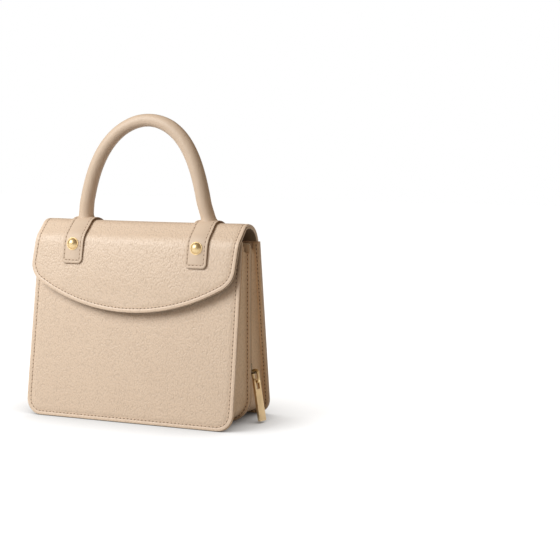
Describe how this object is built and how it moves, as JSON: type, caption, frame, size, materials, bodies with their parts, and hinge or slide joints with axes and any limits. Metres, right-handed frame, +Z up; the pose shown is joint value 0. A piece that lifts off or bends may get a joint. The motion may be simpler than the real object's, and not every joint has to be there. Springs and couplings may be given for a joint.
{
  "type": "top handle bag",
  "caption": "Small structured handbag with a front flap that carries a rigid bow handle, an open front pocket and a zip-around rear pocket.",
  "frame": {"origin": "on the rest plane, in the middle of the divider's foot", "axes": "+Z up, the front with the flap faces -Y, +X to the right of someone who looks at the front"},
  "size_m": [0.2309, 0.0944, 0.2931],
  "materials": {
    "leather": "fine pebble grain, soft semi-matte",
    "flap_lining_leather": "smooth matte lining leather",
    "pocket_lining": "matte woven lining",
    "board": "matte stiffening board",
    "zip_tape": "woven zip tape",
    "zip_teeth": "satin brass",
    "brass_fittings": "pale polished and satin brass",
    "hidden_steel": "plain stamped steel",
    "handle_core": "twisted cord filler"
  },
  "bodies": {
    "body": {"front_panel": "leather", "front_panel_lining": "pocket_lining", "front_gusset": "leather", "front_base_board": "board", "divider_panel": "leather", "divider_front_lining": "pocket_lining", "divider_rear_lining": "pocket_lining", "rear_gusset": "leather", "zip_facing": "leather", "rear_base_board": "board", "back_panel": "leather", "back_panel_lining": "pocket_lining", "flap_tail": "leather", "zip_tape_front": "zip_tape", "zip_tape_rear": "zip_tape", "zip_teeth_front": "zip_teeth", "zip_teeth_rear": "zip_teeth", "zip_stops": "zip_teeth", "snap_female": "brass_fittings", "snap_female_washer": "hidden_steel"},
    "flap": {"flap_leather": "leather", "flap_stiffener": "board", "flap_lining": "flap_lining_leather", "handle_tab_left": "leather", "handle_tab_right": "leather", "handle_wrap": "leather", "handle_core": "handle_core", "rivets": "brass_fittings", "rivet_caps": "hidden_steel", "snap_male": "brass_fittings", "snap_male_washer": "hidden_steel"},
    "zip_slider": {"zip_slider": "brass_fittings"},
    "pull_loop": {"zip_pull_loop": "brass_fittings"},
    "pull_bar": {"zip_pull_bar": "brass_fittings"}
  },
  "joints": [
    {"name": "flap_hinge", "type": "hinge", "parent": "body", "child": "flap", "pos_m": [0, 0.01829, 0.1739], "axis": [-1, 0, 0], "range_deg": [0, 120]},
    {"name": "zip_slide", "type": "slide", "parent": "body", "child": "zip_slider", "axis": [0, 0, 1], "range_m": [0, 0.1]},
    {"name": "loop_swing", "type": "hinge", "parent": "zip_slider", "child": "pull_loop", "pos_m": [0.11005, 0.0077, 0.0476], "axis": [-0.2756, -0.9613, 0], "range_deg": [-11, 90]},
    {"name": "bar_swing", "type": "hinge", "parent": "pull_loop", "child": "pull_bar", "pos_m": [0.11169, 0.00723, 0.03881], "axis": [0.9436, -0.2706, 0.1908], "range_deg": [0, 90]}
  ]
}
